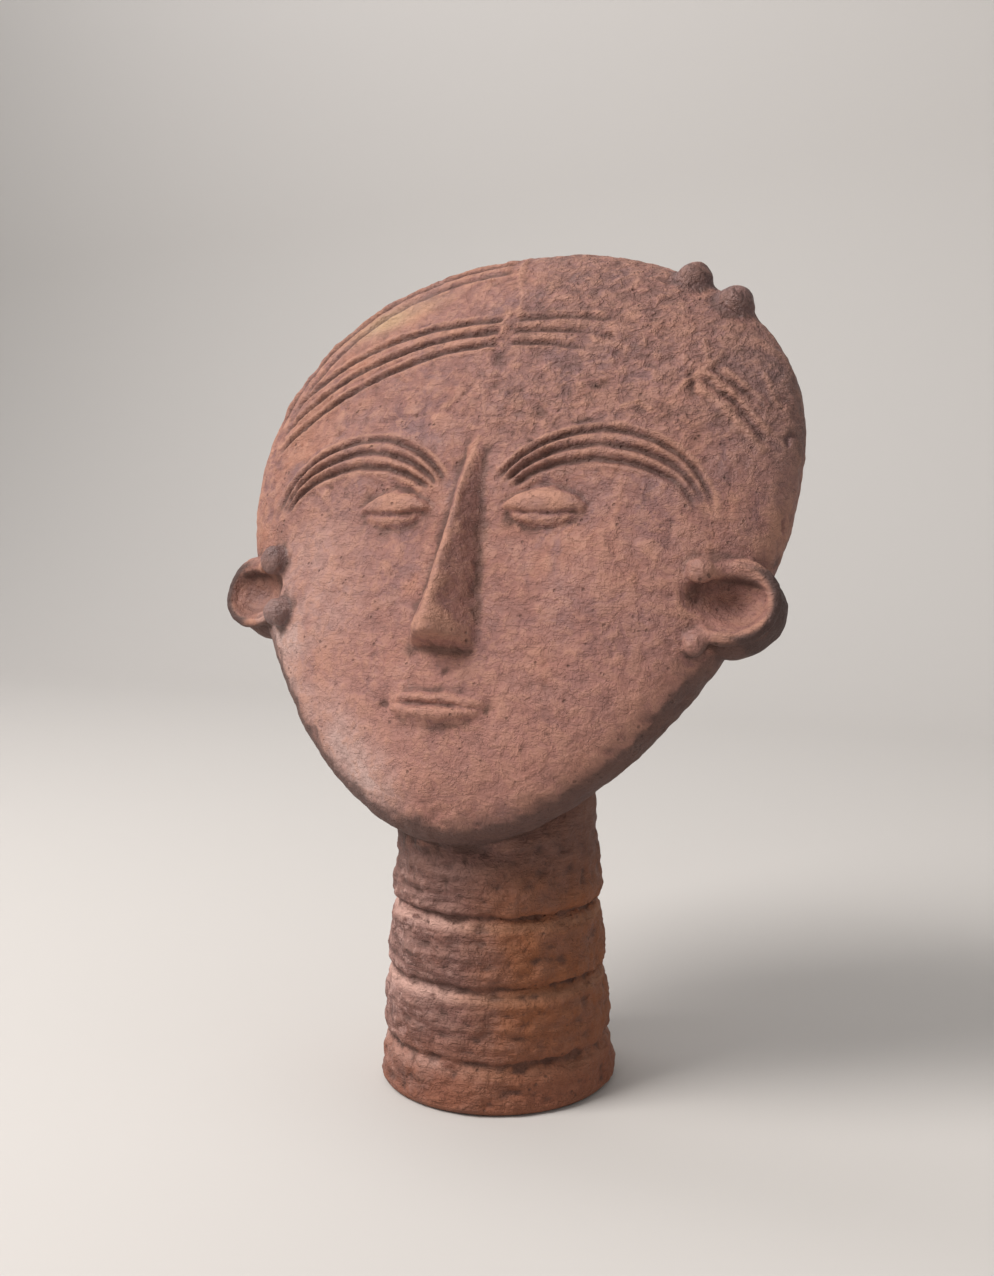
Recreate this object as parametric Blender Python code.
"""A terracotta memorial head: a flattened, egg-shaped head that leans back on a ringed neck.

One solid, in metres, +Z up. The origin is the centre of the neck's flat underside, and the
face looks towards -Y. The clay shapes are modelled one by one, pressed together with a
Boolean union, and then incised with a Boolean difference.

Shapes of the head are written in the head's own frame: across (+X), up along the face (+Z)
and out of the face (-Y). An empty carries that frame, lifts it onto the neck and leans it back.
"""

import math

import bmesh
import bpy
import numpy as np

# The head: an egg seen from the front, and a flattened dome seen from the side.
HEAD_HEIGHT = 0.236
HEAD_WIDTH = 0.223
EGG_TAPER = 0.25
FACE_DEPTH = 0.026
FACE_FULLNESS = 2.4
NAPE_DEPTH = 0.039
NAPE_FULLNESS = 2.2
HEAD_LEAN = math.radians(21.0)
CHIN_HEIGHT = 0.0988
HALF_HEIGHT = HEAD_HEIGHT / 2
HEAD_CENTRE_HEIGHT = CHIN_HEIGHT + HALF_HEIGHT * math.cos(HEAD_LEAN)

# The neck: a tapering post whose rings overhang one another like stacked cups.
BASE_RADIUS = 0.0452
BASE_EDGE = 0.0025
NECK_TAPER = 0.073
BASE_RING_HEIGHT = 0.0195
RING_HEIGHT = 0.026
RING_COUNT = 3
LEDGE_DEPTH = 0.0019
LEDGE_HEIGHT = 0.0014
SHOULDER_HEIGHT = 0.0065

# Above the chin the neck narrows and ends buried in the back of the head.
NAPE_TIP_UP = -0.008
NAPE_TIP_COVER = 0.011
NAPE_TIP_HALF_WIDTH = 0.019
NAPE_TIP_HALF_DEPTH = 0.007

# The face, by the drawing-book canon, as shares of the head's height or of one eye.
EYE_WIDTH = 2 / 3 * HEAD_HEIGHT / 5
EYE_CENTRE = EYE_WIDTH
EYE_LINE = 0.0
BROW_LINE = 0.063 * HEAD_HEIGHT
NOSE_BASE = -0.218 * HEAD_HEIGHT
MOUTH_LINE = -0.312 * HEAD_HEIGHT
EYE_OPENING = 0.44 * EYE_WIDTH
EYE_RISE = 0.0042
SLIT_SHARE = 0.80
NOSE_WIDTH = 0.88 * EYE_WIDTH
NOSE_ROOT_WIDTH = 0.0085
NOSE_RISE = 0.0175
NOSE_ROOT_RISE = 0.0052
MOUTH_WIDTH = 1.35 * EYE_WIDTH
LIP_FULLNESS = 0.0066
LIP_RISE = 0.0050

# The ears: a lug on the head's edge, a coil bent around a hollow, and a pellet on each coil end.
EAR_LEVEL = -0.122 * HEAD_HEIGHT
EAR_COIL_ACROSS = 0.0102
EAR_COIL_INBOARD = 0.0160
EAR_COIL_UP = 0.0118
EAR_COIL_RADIUS = 0.0036
EAR_COIL_SWEEP = math.radians(128.0)
EAR_OUTER_DEPTH = 0.008
EAR_LUG_THICKNESS = 0.0155
EAR_HOLLOW_DEPTH = 0.0090
EAR_HOLLOW_INBOARD = 0.0012
EAR_HOLLOW_FORWARD = 0.010
PELLET_RADIUS = 0.0060
PELLET_LIFT = 0.0016

# Two pinched knobs on the rim of the crown, on the figure's left only.
KNOB_TURNS = (math.radians(59.0), math.radians(49.0))
KNOB_RADIUS = 0.0074
KNOB_HEIGHT = 0.0078
KNOB_SINK = 0.0010
KNOB_FORWARD = 0.27 * FACE_DEPTH

# The incised lines: how wide and how deep the tool went.
CUT_WIDTH = 0.0038
CUT_DEPTH = 0.0020
FINE_CUT_WIDTH = 0.0024
FINE_CUT_DEPTH = 0.0009
LINES_IN_A_BAND = 3
BAND_CREST = 0.682 * HALF_HEIGHT
BAND_CREST_STEP = 0.0056
BAND_TEMPLE = 0.390 * HALF_HEIGHT
BAND_TEMPLE_STEP = 0.0086
BAND_REACH = 0.937 * HEAD_WIDTH / 2
BAND_BEND = 2.8
BAND_BEND_STEP = 0.35
CROWN_LINE_TILT = math.radians(13.0)
CROWN_LINE_TILT_STEP = math.radians(8.5)
CROWN_LINE_SIDE = -1
CROWN_LINE_START = math.radians(86.0)
CROWN_LINE_END = math.radians(24.0)
BROW_MIDDLE = 1.56 * EYE_WIDTH
BROW_FOOT = -0.13 * EYE_WIDTH
BROW_HALF_SPAN = 1.19 * EYE_WIDTH
BROW_ARCH = 0.715 * EYE_WIDTH
BROW_STEP = 0.0058

# How finely round shapes are faceted.
HEAD_SIDES = 56
FACE_RINGS = 13
NAPE_RINGS = 6
NECK_SIDES = 40
PELLET_SIDES = 12
COIL_SIDES = 8
COIL_STEPS = 14
LINE_STEPS = 9

CLAY_COLOUR = (0.36, 0.17, 0.115, 1.0)
CLAY_ROUGHNESS = 0.85


def clear_scene():
    for old in list(bpy.data.objects):
        bpy.data.objects.remove(old, do_unlink=True)


def signed_power(value, power):
    return np.sign(value) * np.abs(value) ** power


def egg_width(up):
    """Half the head's width at a level, before the outline curves in: it narrows towards the chin."""
    return HEAD_WIDTH / 2 * (1 + EGG_TAPER * up / HALF_HEIGHT)


def outline_width(up):
    """Half the width of the head's outline at a level."""
    return egg_width(up) * math.sqrt(1 - (up / HALF_HEIGHT) ** 2)


def egg_share(across, up):
    """0 at the middle of the face, 1 on the head's outline."""
    return math.hypot(across / egg_width(up), up / HALF_HEIGHT)


def dome_depth(across, up, depth, fullness):
    inside = max(0.0, 1 - egg_share(across, up) ** fullness)
    return depth * inside ** (1 / fullness)


def face_depth(across, up):
    """How far the smooth face stands out of the head's middle plane."""
    return dome_depth(across, up, FACE_DEPTH, FACE_FULLNESS)


def nape_depth(across, up):
    """How far the back of the head stands behind its middle plane."""
    return dome_depth(across, up, NAPE_DEPTH, NAPE_FULLNESS)


def neck_radius(height):
    return BASE_RADIUS - NECK_TAPER * height


def rim_point(turn, tilt):
    """A point of the front half: turn goes round the outline, tilt from the rim (0) to the middle."""
    share = math.cos(tilt) ** (2 / FACE_FULLNESS)
    up = HALF_HEIGHT * share * math.sin(turn)
    across = egg_width(up) * share * math.cos(turn)
    return across, up, FACE_DEPTH * math.sin(tilt) ** (2 / FACE_FULLNESS)


def rim_normal(across, up, out):
    """The outward direction of the front half, from the slopes of its formula."""
    step = 1e-5
    ahead = egg_share(across + step, up) - egg_share(across - step, up)
    above = egg_share(across, up + step) - egg_share(across, up - step)
    share = egg_share(across, up)
    steep = FACE_FULLNESS * share ** (FACE_FULLNESS - 1) / (2 * step)
    lift = FACE_FULLNESS / FACE_DEPTH * (out / FACE_DEPTH) ** (FACE_FULLNESS - 1)
    normal = np.array([ahead * steep, above * steep, lift])
    return normal / np.linalg.norm(normal)


def head_frame(across, up, out):
    """The head's own directions as Blender's X, Y and Z, before the head leans back."""
    return (across, -out, up)


def skin_loops(name, loops, closed_ends=True):
    """A closed mesh through rows of points, each row a ring, with a fan or a cap on both ends."""
    shape = bmesh.new()
    rows = [[shape.verts.new(point) for point in loop] for loop in loops]
    for lower, upper in zip(rows, rows[1:]):
        if len(lower) == 1 or len(upper) == 1:
            ring, tip = (upper, lower[0]) if len(lower) == 1 else (lower, upper[0])
            for first, second in zip(ring, ring[1:] + ring[:1]):
                shape.faces.new((first, second, tip))
            continue
        pairs = zip(lower, lower[1:] + lower[:1], upper[1:] + upper[:1], upper)
        for quad in pairs:
            shape.faces.new(quad)
    if closed_ends:
        for row in (rows[0], rows[-1]):
            if len(row) > 2:
                shape.faces.new(row)
    return finished_mesh(name, shape)


def finished_mesh(name, shape):
    """Flat triangles that face out: a bent quad would leave a Boolean an edge that doesn't close."""
    bmesh.ops.triangulate(shape, faces=shape.faces)
    bmesh.ops.recalc_face_normals(shape, faces=shape.faces)
    mesh = bpy.data.meshes.new(name)
    shape.to_mesh(mesh)
    shape.free()
    return mesh


def place(name, mesh, carrier, collection):
    """A helper solid: it shapes the clay through a Boolean and isn't a piece of its own."""
    piece = bpy.data.objects.new(name, mesh)
    piece.parent = carrier
    piece.hide_render = True
    piece.display_type = "WIRE"
    collection.objects.link(piece)
    return piece


def head_mesh():
    """Rings from the middle of the face, over the rim, to the middle of the back."""
    face_tilts = np.linspace(math.pi / 2, 0, FACE_RINGS, endpoint=False)
    tilts = np.append(face_tilts, np.linspace(0, -math.pi / 2, NAPE_RINGS + 1))
    turns = np.linspace(0, 2 * math.pi, HEAD_SIDES, endpoint=False)
    loops = []
    for tilt in tilts:
        depth, fullness = (FACE_DEPTH, FACE_FULLNESS) if tilt > 0 else (NAPE_DEPTH, NAPE_FULLNESS)
        share = abs(math.cos(tilt)) ** (2 / fullness)
        out = depth * float(signed_power(math.sin(tilt), 2 / fullness))
        if share < 1e-3:
            loops.append([head_frame(0, 0, out)])
            continue
        ups = HALF_HEIGHT * share * np.sin(turns)
        acrosses = egg_width(ups) * share * np.cos(turns)
        loops.append([head_frame(a, u, out) for a, u in zip(acrosses, ups)])
    return skin_loops("head", loops)


def neck_outline():
    """(radius, height) up the neck, from the underside to the lip of the topmost ring."""
    outline = [(BASE_RADIUS - BASE_EDGE, 0.0), (BASE_RADIUS, BASE_EDGE)]
    for ring in range(RING_COUNT):
        lip_height = BASE_RING_HEIGHT + ring * RING_HEIGHT
        ledge = lip_height - LEDGE_HEIGHT
        shoulder = ledge - SHOULDER_HEIGHT
        outline += [
            (neck_radius(shoulder), shoulder),
            (neck_radius(shoulder) - LEDGE_DEPTH / 2, (shoulder + ledge) / 2),
            (neck_radius(ledge) - LEDGE_DEPTH, ledge),
            (neck_radius(lip_height) - LEDGE_DEPTH / 4, lip_height),
            (neck_radius(lip_height) + LEDGE_DEPTH / 4, lip_height + 2 * LEDGE_HEIGHT),
        ]
    return outline


def neck_mesh():
    """The ringed post, and above it sections that grow smaller and run up into the head's back."""
    turns = np.linspace(0, 2 * math.pi, NECK_SIDES, endpoint=False)

    def section(half_width, half_depth, back, height):
        middle = back - half_depth
        return [(half_width * math.cos(t), middle + half_depth * math.sin(t), height) for t in turns]

    loops = [section(radius, radius, radius, height) for radius, height in neck_outline()]
    chin_radius = neck_radius(CHIN_HEIGHT)
    tip_depth = nape_depth(0, NAPE_TIP_UP) - NAPE_TIP_COVER
    lean_sine, lean_cosine = math.sin(HEAD_LEAN), math.cos(HEAD_LEAN)
    tip_back = NAPE_TIP_UP * lean_sine + tip_depth * lean_cosine
    tip_height = HEAD_CENTRE_HEIGHT + NAPE_TIP_UP * lean_cosine - tip_depth * lean_sine
    for share in (0.0, 0.25, 0.5, 0.75, 1.0):
        height = CHIN_HEIGHT + share * (tip_height - CHIN_HEIGHT)
        narrowing = share**1.6
        half_width = chin_radius + narrowing * (NAPE_TIP_HALF_WIDTH - chin_radius)
        half_depth = chin_radius + share * (NAPE_TIP_HALF_DEPTH - chin_radius)
        back = chin_radius + narrowing * (tip_back - chin_radius)
        loops.append(section(half_width, half_depth, back, height))
    return skin_loops("neck", loops)


def ball_mesh(name, middle, radii, sides=PELLET_SIDES, axis=(0.0, 0.0, 1.0)):
    """An ellipsoid in the head's frame. The third radius lies along axis: across, up and out."""
    shape = bmesh.new()
    bmesh.ops.create_uvsphere(shape, u_segments=sides, v_segments=sides // 2, radius=1.0)
    third = np.array(axis) / np.linalg.norm(axis)
    first = np.cross((0.0, 1.0, 0.0), third)
    first /= np.linalg.norm(first)
    second = np.cross(third, first)
    for vert in shape.verts:
        x, y, z = vert.co
        spot = np.array(middle) + x * radii[0] * first + y * radii[1] * second + z * radii[2] * third
        vert.co = head_frame(*spot)
    return finished_mesh(name, shape)


def nose_mesh():
    """A straight wedge: it widens and rises from the brows to the tip, and is cut off flat below."""
    levels = np.linspace(0.0, 1.0, 7)
    loops = []
    for level in levels:
        up = BROW_LINE + level * (NOSE_BASE - BROW_LINE)
        half = (NOSE_ROOT_WIDTH + level * (NOSE_WIDTH - NOSE_ROOT_WIDTH)) / 2
        rise = NOSE_ROOT_RISE + level * (NOSE_RISE - NOSE_ROOT_RISE)
        skin = face_depth(0, up)
        ridge = 0.28 * half * (1 - 0.35 * level)
        outline = [
            (-half, -0.004),
            (-half, 0.0006),
            (-0.55 * half - 0.3 * ridge, 0.52 * rise),
            (-ridge, 0.93 * rise),
            (0.0, rise),
            (ridge, 0.93 * rise),
            (0.55 * half + 0.3 * ridge, 0.52 * rise),
            (half, 0.0006),
            (half, -0.004),
        ]
        tip_tilt = 0.10 * rise if level == 1.0 else 0.0
        loops.append(
            [head_frame(a, up - tip_tilt * (o < 0.5 * rise), skin + o) for a, o in outline]
        )
    return skin_loops("nose", loops)


def almond_mesh(name, middle, half_width, half_height, rise, bend, steps=12):
    """A flat-bottomed bean that lies on the face: pointed ends, a domed section, a bent spine."""
    across0, up0 = middle
    loops = []
    for share in np.linspace(-1, 1, steps + 1):
        across = across0 + share * half_width
        spine = up0 + bend * (1 - share**2)
        fade = math.sqrt(max(0.0, 1 - abs(share) ** 2.2))
        if fade < 1e-3:
            loops.append([head_frame(across, spine, face_depth(across, spine) - 0.0006)])
            continue
        loop = []
        for angle in np.linspace(0, math.pi, 7):
            up = spine + half_height * fade * math.cos(angle)
            out = face_depth(across, up) + rise * fade * math.sin(angle) - 0.0006
            loop.append(head_frame(across, up, out))
        for drop in (-1.0, 1.0):
            up = spine + half_height * fade * drop
            loop.append(head_frame(across, up, face_depth(across, up) - 0.004))
        loops.append(loop)
    return skin_loops(name, loops)


def cut_mesh(name, path, width=CUT_WIDTH, depth=CUT_DEPTH):
    """A V-shaped cutter along a path of (across, up, out, normal) points on the skin."""
    loops = []
    spots = [np.array(spot[:3]) for spot in path]
    for number, (spot, item) in enumerate(zip(spots, path)):
        normal = np.array(item[3])
        ahead = spots[min(number + 1, len(spots) - 1)] - spots[max(number - 1, 0)]
        side = np.cross(ahead, normal)
        side /= np.linalg.norm(side)
        ends = number in (0, len(spots) - 1)
        bite, reach = (0.35 * depth, 0.5 * width) if ends else (depth, width)
        corners = (
            spot - bite * normal,
            spot + reach / 2 * (1 + depth / width) * side + depth * normal,
            spot - reach / 2 * (1 + depth / width) * side + depth * normal,
        )
        loops.append([head_frame(*corner) for corner in corners])
    return skin_loops(name, loops)


def on_face(across, up):
    out = face_depth(across, up)
    return (across, up, out, rim_normal(across, up, out))


def band_path(line, side):
    """One line of the band that crosses the forehead and comes down to the temple."""
    crest = BAND_CREST - line * BAND_CREST_STEP
    temple = BAND_TEMPLE - line * BAND_TEMPLE_STEP
    bend = BAND_BEND - line * BAND_BEND_STEP
    path = []
    for share in np.linspace(0.025, 1.0, LINE_STEPS):
        up = crest - (crest - temple) * share**bend
        path.append(on_face(side * share * BAND_REACH, up))
    return path


def crown_path(line, side):
    """One line that follows the rim from the parting to the temple."""
    tilt = CROWN_LINE_TILT + line * CROWN_LINE_TILT_STEP
    path = []
    for turn in np.linspace(CROWN_LINE_START, CROWN_LINE_END, LINE_STEPS):
        across, up, out = rim_point(turn, tilt)
        path.append((side * across, up, out, rim_normal(side * across, up, out)))
    return path


def brow_path(line, side):
    """One of three arcs over an eye, from the root of the nose out towards the ear."""
    span = BROW_HALF_SPAN + 0.4 * line * BROW_STEP
    arch = BROW_ARCH + line * BROW_STEP
    path = []
    for angle in np.linspace(math.radians(158), math.radians(8), LINE_STEPS):
        across = BROW_MIDDLE + span * math.cos(angle)
        path.append(on_face(side * across, BROW_FOOT + arch * math.sin(angle)))
    return path


def slit_path(side):
    """The closed slit across an eye's lids."""
    half = SLIT_SHARE * EYE_WIDTH / 2
    path = []
    for share in np.linspace(-1, 1, LINE_STEPS):
        across = side * EYE_CENTRE + share * half
        _, _, out, normal = on_face(across, EYE_LINE)
        lift = EYE_RISE * math.sqrt(1 - (SLIT_SHARE * share) ** 2) - 0.0006
        path.append((across, EYE_LINE, out + lift, normal))
    return path


def parting_path():
    """The single line down the middle of the crown, across the bands."""
    path = []
    for tilt in np.linspace(math.radians(14), math.radians(62), LINE_STEPS):
        across, up, out = rim_point(math.pi / 2, tilt)
        path.append((0.0, up, out, rim_normal(0.0, up, out)))
    return path


def ear_middle(side):
    """(across, up) of an ear's middle, which lies on the head's outline."""
    return side * outline_width(EAR_LEVEL), EAR_LEVEL


def coil_spot(side, angle):
    """(across, up) on the ear's coil; angle 0 is its outermost point, and its ends reach inboard."""
    across, up = ear_middle(side)
    reach = EAR_COIL_ACROSS if math.cos(angle) > 0 else EAR_COIL_INBOARD
    return across + side * reach * math.cos(angle), up + EAR_COIL_UP * math.sin(angle)


def pellet_spots(side):
    """Centres of the upper and the lower pellet, just proud of the cheek."""
    ends = [coil_spot(side, angle) for angle in (EAR_COIL_SWEEP, -EAR_COIL_SWEEP)]
    return [(across, up, face_depth(across, up) + PELLET_LIFT) for across, up in ends]


def coil_mesh(side):
    """The ear's coil: a round section along a C that opens towards the face."""
    upper_end, lower_end = (spot[2] for spot in pellet_spots(side))
    loops = []
    for angle in np.linspace(-EAR_COIL_SWEEP, EAR_COIL_SWEEP, COIL_STEPS + 1):
        inward = ((1 - math.cos(angle)) / (1 - math.cos(EAR_COIL_SWEEP))) ** 1.2
        end_out = lower_end if angle < 0 else upper_end
        out = EAR_OUTER_DEPTH + inward * (end_out - EAR_OUTER_DEPTH)
        middle = np.array([*coil_spot(side, angle), out])
        radial = np.array([side * math.cos(angle), math.sin(angle), 0.0])
        loop = []
        for spin in np.linspace(0, 2 * math.pi, COIL_SIDES, endpoint=False):
            offset = math.cos(spin) * radial + math.sin(spin) * np.array([0.0, 0.0, 1.0])
            loop.append(head_frame(*(middle + EAR_COIL_RADIUS * offset)))
        loops.append(loop)
    return skin_loops("ear_coil", loops)


def ear_lug_mesh(side):
    """The solid lug behind the coil, out to the coil's own outer edge."""
    flush = EAR_COIL_RADIUS
    reach = (EAR_COIL_ACROSS + flush, EAR_COIL_UP + flush)
    return ball_mesh("lug", (*ear_middle(side), 0.0), (*reach, EAR_LUG_THICKNESS), 20)


def ear_hollow_mesh(side):
    """The bowl that the coil runs round, hollowed from the front and a little inboard."""
    across, up = ear_middle(side)
    half_across = EAR_COIL_ACROSS - EAR_COIL_RADIUS + EAR_HOLLOW_INBOARD
    reach = (half_across, EAR_COIL_UP - EAR_COIL_RADIUS, EAR_HOLLOW_DEPTH)
    spot = (across - side * EAR_HOLLOW_INBOARD, up, EAR_HOLLOW_FORWARD)
    return ball_mesh("hollow", spot, reach, 16)


def knob_meshes():
    """Two pinched knobs, standing square to the rim."""
    meshes = []
    for turn in KNOB_TURNS:
        tilt = math.asin((KNOB_FORWARD / FACE_DEPTH) ** (FACE_FULLNESS / 2))
        spot = rim_point(turn, tilt)
        axis = rim_normal(*spot)
        radii = (KNOB_RADIUS, KNOB_RADIUS, KNOB_HEIGHT)
        meshes.append(ball_mesh("knob", spot - KNOB_SINK * axis, radii, axis=axis))
    return meshes


def clay_material():
    material = bpy.data.materials.new("fired_clay")
    material.use_nodes = True
    shader = material.node_tree.nodes["Principled BSDF"]
    shader.inputs["Base Color"].default_value = CLAY_COLOUR
    shader.inputs["Roughness"].default_value = CLAY_ROUGHNESS
    shader.inputs["Metallic"].default_value = 0.0
    return material


def boolean(target, name, operation, collection, solver="EXACT"):
    step = target.modifiers.new(name, "BOOLEAN")
    step.operation = operation
    step.operand_type = "COLLECTION"
    step.collection = collection
    step.solver = solver
    target.modifiers.new(name + "_facets", "TRIANGULATE")


def new_collection(name):
    made = bpy.data.collections.new(name)
    bpy.context.scene.collection.children.link(made)
    return made


def main():
    clear_scene()
    added = new_collection("clay_added")
    hollowed = new_collection("clay_hollowed")
    incised = new_collection("clay_incised")

    carrier = bpy.data.objects.new("head_seat", None)
    carrier.location = (0.0, 0.0, HEAD_CENTRE_HEIGHT)
    carrier.rotation_euler = (-HEAD_LEAN, 0.0, 0.0)
    bpy.context.scene.collection.objects.link(carrier)

    place("head_egg", head_mesh(), carrier, added)
    place("nose", nose_mesh(), carrier, added)
    upper = (0.0, MOUTH_LINE + 0.50 * LIP_FULLNESS)
    lower = (0.0, MOUTH_LINE - 0.50 * LIP_FULLNESS)
    half = MOUTH_WIDTH / 2
    thick = 0.62 * LIP_FULLNESS
    upper_lip = almond_mesh("lip", upper, half, thick, LIP_RISE, 0.0012)
    lower_lip = almond_mesh("lip", lower, 0.86 * half, thick, 0.9 * LIP_RISE, -0.0016)
    place("upper_lip", upper_lip, carrier, added)
    place("lower_lip", lower_lip, carrier, added)
    for side, word in ((-1, "right"), (1, "left")):
        eye = (side * EYE_CENTRE, EYE_LINE)
        lids = almond_mesh("lids", eye, EYE_WIDTH / 2, EYE_OPENING / 2, EYE_RISE, 0.0)
        place("lids_" + word, lids, carrier, added)
        place("ear_lug_" + word, ear_lug_mesh(side), carrier, added)
        place("ear_coil_" + word, coil_mesh(side), carrier, added)
        for number, spot in enumerate(pellet_spots(side)):
            pellet = ball_mesh("pellet", spot, (PELLET_RADIUS,) * 3)
            place(f"pellet_{word}_{number}", pellet, carrier, added)
        place("ear_hollow_" + word, ear_hollow_mesh(side), carrier, hollowed)

        for line in range(LINES_IN_A_BAND):
            place(f"band_{word}_{line}", cut_mesh("cut", band_path(line, side)), carrier, incised)
            place(f"brow_{word}_{line}", cut_mesh("cut", brow_path(line, side)), carrier, incised)
        slit = cut_mesh("cut", slit_path(side), FINE_CUT_WIDTH, FINE_CUT_DEPTH)
        place("lid_slit_" + word, slit, carrier, incised)
    for line in range(LINES_IN_A_BAND):
        place(f"crown_{line}", cut_mesh("cut", crown_path(line, CROWN_LINE_SIDE)), carrier, incised)
    for number, mesh in enumerate(knob_meshes()):
        place(f"knob_{number}", mesh, carrier, added)
    parting = cut_mesh("cut", parting_path(), FINE_CUT_WIDTH, FINE_CUT_DEPTH)
    place("parting", parting, carrier, incised)

    body = bpy.data.objects.new("funerary_head", neck_mesh())
    bpy.context.scene.collection.objects.link(body)
    body.data.materials.append(clay_material())
    boolean(body, "press_on", "UNION", added)
    # EXACT leaves open edges where the shallow cuts meet and cross, so these two use MANIFOLD.
    boolean(body, "hollow_out", "DIFFERENCE", hollowed, "MANIFOLD")
    boolean(body, "incise", "DIFFERENCE", incised, "MANIFOLD")
    body.data.shade_smooth()
    body.data.set_sharp_from_angle(angle=math.radians(35))


main()
